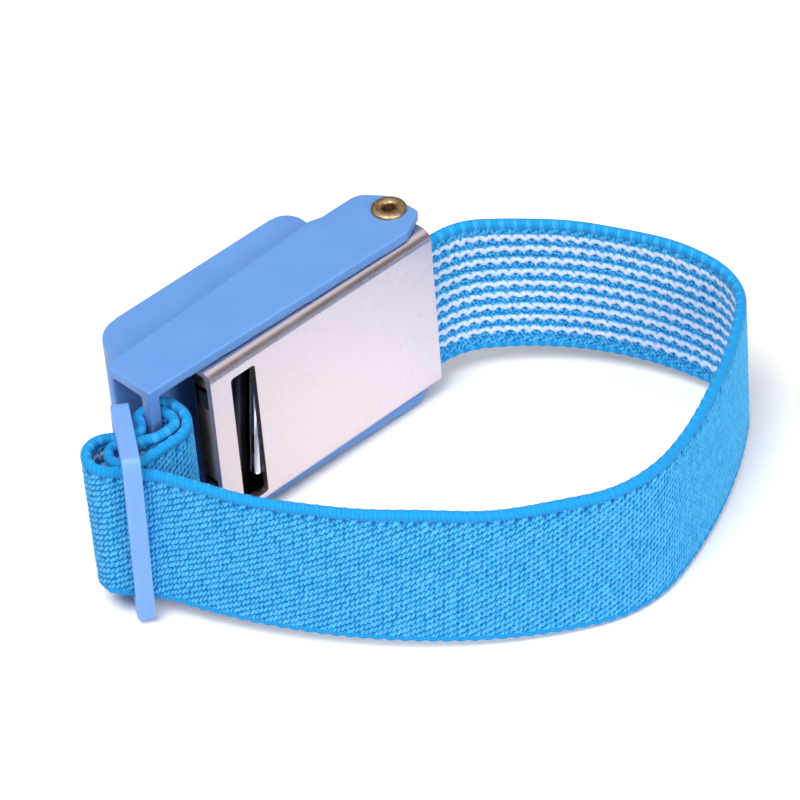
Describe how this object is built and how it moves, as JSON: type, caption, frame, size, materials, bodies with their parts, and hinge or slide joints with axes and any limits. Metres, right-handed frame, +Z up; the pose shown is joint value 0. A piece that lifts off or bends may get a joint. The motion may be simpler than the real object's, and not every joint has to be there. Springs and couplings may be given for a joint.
{
  "type": "esd wrist strap",
  "caption": "Cordless anti-static wrist strap: knitted webbing loop, three-bar slide and a plastic buckle with a hinged metal skin plate, standing on edge.",
  "frame": {"origin": "centre of the skin face of the hinged clasp plate", "axes": "+X along the clasp from the strap post to the hinge, -Y out of the skin face to the wrist, +Z up with the strap standing on its edge"},
  "size_m": [0.0782, 0.0631, 0.028],
  "materials": {
    "plastic_blue": "satin",
    "slider_blue": "satin",
    "screw_steel": "satin",
    "board_green": "matte",
    "resistor_body": "matte",
    "tinned_wire": "satin",
    "leaf_brass": "satin",
    "rivet_brass": "worn",
    "plate_steel": "satin",
    "liner_steel": "satin",
    "rod_chrome": "polished",
    "webbing_blue": "knitted",
    "thread_white": "matte"
  },
  "bodies": {
    "frame_body": {"buckle_frame": "plastic_blue", "circuit_cover": "plastic_blue", "cover_screw": "screw_steel", "circuit_board": "board_green", "resistor": "resistor_body", "resistor_leads": "tinned_wire", "bridge_wire": "tinned_wire", "discharge_plate": "leaf_brass", "contact_leaf": "leaf_brass", "hinge_rivets": "rivet_brass", "pivot_washers": "leaf_brass", "strap_band": "webbing_blue", "strap_adjuster_loop": "webbing_blue"},
    "clasp": {"clasp_plate": "plate_steel", "clasp_liner": "liner_steel", "strap_crimp": "liner_steel", "strap_clasp_end": "webbing_blue"},
    "roller": {"roller_rod": "rod_chrome"},
    "slider_body": {"slider": "slider_blue", "strap_end_loop": "webbing_blue", "end_stitching": "thread_white"}
  },
  "joints": [
    {"name": "clasp_hinge", "type": "hinge", "parent": "frame_body", "child": "clasp", "pos_m": [0.0169, 0.0057, 0], "axis": [0, 0, 1], "range_deg": [0, 90], "deforming": ["strap_band"]},
    {"name": "roller_slide", "type": "slide", "parent": "clasp", "child": "roller", "axis": [1, 0, 0], "range_m": [-0.0048, 0.0012]},
    {"name": "slider_slide", "type": "slide", "parent": "frame_body", "child": "slider_body", "axis": [-0.829, 0.5592, 0], "range_m": [-0.0015, 0.003], "deforming": ["strap_band", "strap_adjuster_loop", "strap_end_loop", "end_stitching"]}
  ]
}
